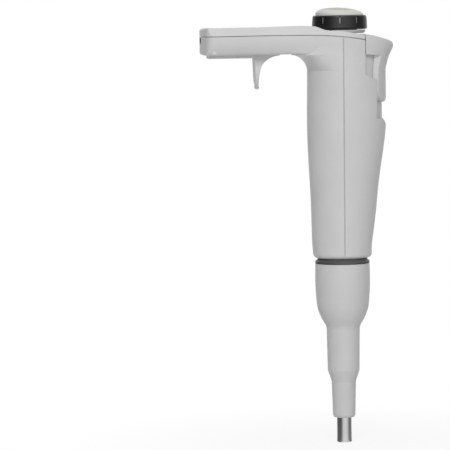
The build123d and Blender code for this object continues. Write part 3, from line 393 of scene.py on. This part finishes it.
# ---------------------------------------------------------------- stage
FLOOR_Z = CAD_BOX[0].z - 0.2 * MM
FLOOR_HALF = 6.0
FLOOR_COLOUR = (0.93, 0.93, 0.93, 1)
WHITE_START, WHITE_END = 0.01, 0.16  # the floor fades to the white background between these distances
NEAR_WHITE = 0.86
FILL = 0.56
FILL_SIDE = 0.55  # share of the fill that is missing at the far left and right
KEY_PLACE = (-0.2, -1.5, 1.15)
KEY_SIZE = 0.7
KEY_POWER = 13.5
SIDE_DARK = 0.1
SIDE_SHIFT = 0.12  # the reflected darkness starts sooner on the left


def math_node(tree, operation, first, second=None):
    node = tree.nodes.new("ShaderNodeMath")
    node.operation = operation
    for socket, value in zip(node.inputs, (first, second)):
        if isinstance(value, (int, float)):
            socket.default_value = value
        elif value is not None:
            tree.links.new(value, socket)
    return node.outputs["Value"]


def map_node(tree, value, low, high, to_low, to_high):
    node = tree.nodes.new("ShaderNodeMapRange")
    node.interpolation_type = "SMOOTHSTEP"
    node.inputs["From Min"].default_value = low
    node.inputs["From Max"].default_value = high
    node.inputs["To Min"].default_value = to_low
    node.inputs["To Max"].default_value = to_high
    tree.links.new(value, node.inputs["Value"])
    return node.outputs["Result"]


def seen_ray(tree):
    """1 for camera, glossy and transmission rays, else 0."""
    path = tree.nodes.new("ShaderNodeLightPath")
    pair = math_node(tree, "MAXIMUM", path.outputs["Is Camera Ray"], path.outputs["Is Glossy Ray"])
    return math_node(tree, "MAXIMUM", pair, path.outputs["Is Transmission Ray"])


def side_shade(tree, across):
    """How dark the surroundings look in a reflection, from their direction's share along X."""
    side = math_node(tree, "ABSOLUTE", math_node(tree, "SUBTRACT", across, SIDE_SHIFT))
    path = tree.nodes.new("ShaderNodeLightPath")
    dark = map_node(tree, side, 0.35, 1.0, 0.0, 1.0 - SIDE_DARK)
    shade = math_node(tree, "MULTIPLY", dark, path.outputs["Is Glossy Ray"])
    return math_node(tree, "SUBTRACT", 1.0, shade)


def floor_material():
    """A pale matt floor that keeps the shadow near the object and turns into the white background."""
    material, tree, shader = new_material("floor")
    shader.inputs["Base Color"].default_value = FLOOR_COLOUR
    shader.inputs["Roughness"].default_value = 0.9
    shader.inputs["Specular IOR Level"].default_value = 0.0
    white = tree.nodes.new("ShaderNodeEmission")
    coords = tree.nodes.new("ShaderNodeTexCoord")
    length = tree.nodes.new("ShaderNodeVectorMath")
    length.operation = "LENGTH"
    tree.links.new(coords.outputs["Object"], length.inputs[0])
    far = map_node(tree, length.outputs["Value"], WHITE_START, WHITE_END, NEAR_WHITE, 1.0)
    split = tree.nodes.new("ShaderNodeSeparateXYZ")
    tree.links.new(coords.outputs["Object"], split.inputs["Vector"])
    across = math_node(tree, "DIVIDE", split.outputs["X"], length.outputs["Value"])
    tree.links.new(side_shade(tree, across), white.inputs["Strength"])
    mix = tree.nodes.new("ShaderNodeMixShader")
    tree.links.new(math_node(tree, "MULTIPLY", far, seen_ray(tree)), mix.inputs["Fac"])
    tree.links.new(shader.outputs["BSDF"], mix.inputs[1])
    tree.links.new(white.outputs["Emission"], mix.inputs[2])
    output = next(n for n in tree.nodes if n.type == "OUTPUT_MATERIAL")
    tree.links.new(mix.outputs["Shader"], output.inputs["Surface"])
    return material


def build_stage():
    h = FLOOR_HALF
    mesh = bpy.data.meshes.new("floor")
    mesh.from_pydata([(-h, -h, 0), (h, -h, 0), (h, h, 0), (-h, h, 0)], [], [(0, 1, 2, 3)])
    floor = bpy.data.objects.new("floor", mesh)
    floor.location.z = FLOOR_Z
    floor.data.materials.append(floor_material())
    bpy.context.scene.collection.objects.link(floor)


def area_light(name, place, target, size, power):
    data = bpy.data.lights.new(name, "AREA")
    data.shape = "SQUARE"
    data.size = size
    data.energy = power
    light = bpy.data.objects.new(name, data)
    light.location = place
    light.rotation_euler = (Vector(target) - Vector(place)).to_track_quat("-Z", "Y").to_euler()
    bpy.context.scene.collection.objects.link(light)


def build_world():
    """Even pale surroundings, white where the camera sees them, darker to the sides in reflections."""
    world = bpy.data.worlds.new("studio")
    bpy.context.scene.world = world
    world.use_nodes = True
    tree = world.node_tree
    tree.nodes.clear()
    output = tree.nodes.new("ShaderNodeOutputWorld")
    fill = tree.nodes.new("ShaderNodeBackground")
    fill.inputs["Color"].default_value = (1, 1, 1, 1)
    seen = tree.nodes.new("ShaderNodeBackground")
    seen.inputs["Color"].default_value = (1, 1, 1, 1)
    coords = tree.nodes.new("ShaderNodeTexCoord")
    split = tree.nodes.new("ShaderNodeSeparateXYZ")
    tree.links.new(coords.outputs["Generated"], split.inputs["Vector"])
    tree.links.new(side_shade(tree, split.outputs["X"]), seen.inputs["Strength"])
    side = math_node(tree, "ABSOLUTE", split.outputs["X"])
    tree.links.new(map_node(tree, side, 0.1, 0.9, FILL, FILL * (1 - FILL_SIDE)), fill.inputs["Strength"])
    mix = tree.nodes.new("ShaderNodeMixShader")
    tree.links.new(seen_ray(tree), mix.inputs["Fac"])
    tree.links.new(fill.outputs["Background"], mix.inputs[1])
    tree.links.new(seen.outputs["Background"], mix.inputs[2])
    tree.links.new(mix.outputs["Shader"], output.inputs["Surface"])


# ---------------------------------------------------------------- camera
DISTANCE = 1.5
FRAME_WIDTH = 211.5 * MM
AZIMUTH = -3.72
ELEVATION = 3.9
ROLL = -0.84
AIM = Vector((-55.2 * MM, 0, 103.2 * MM))


def build_camera():
    a, e = math.radians(AZIMUTH), math.radians(ELEVATION)
    back = Vector((math.sin(a) * math.cos(e), -math.cos(a) * math.cos(e), math.sin(e)))
    data = bpy.data.cameras.new("camera")
    data.sensor_width = 36.0
    data.lens = data.sensor_width * DISTANCE / FRAME_WIDTH
    data.clip_start = 0.05
    camera = bpy.data.objects.new("camera", data)
    camera.location = AIM + back * DISTANCE
    look = (-back).to_track_quat("-Z", "Y")
    camera.rotation_mode = "QUATERNION"
    camera.rotation_quaternion = look @ Quaternion((0, 0, 1), math.radians(ROLL))
    bpy.context.scene.collection.objects.link(camera)
    bpy.context.scene.camera = camera


made = dress_nodes()
painted_groove_highlights(made)
rail_mark(made)
usb_bezel(made)
display_digits(made)
live_springs()
build_stage()
build_world()
area_light("key", KEY_PLACE, (0, 0, 100 * MM), KEY_SIZE, KEY_POWER)
build_camera()
bpy.context.scene.view_settings.view_transform = "Standard"
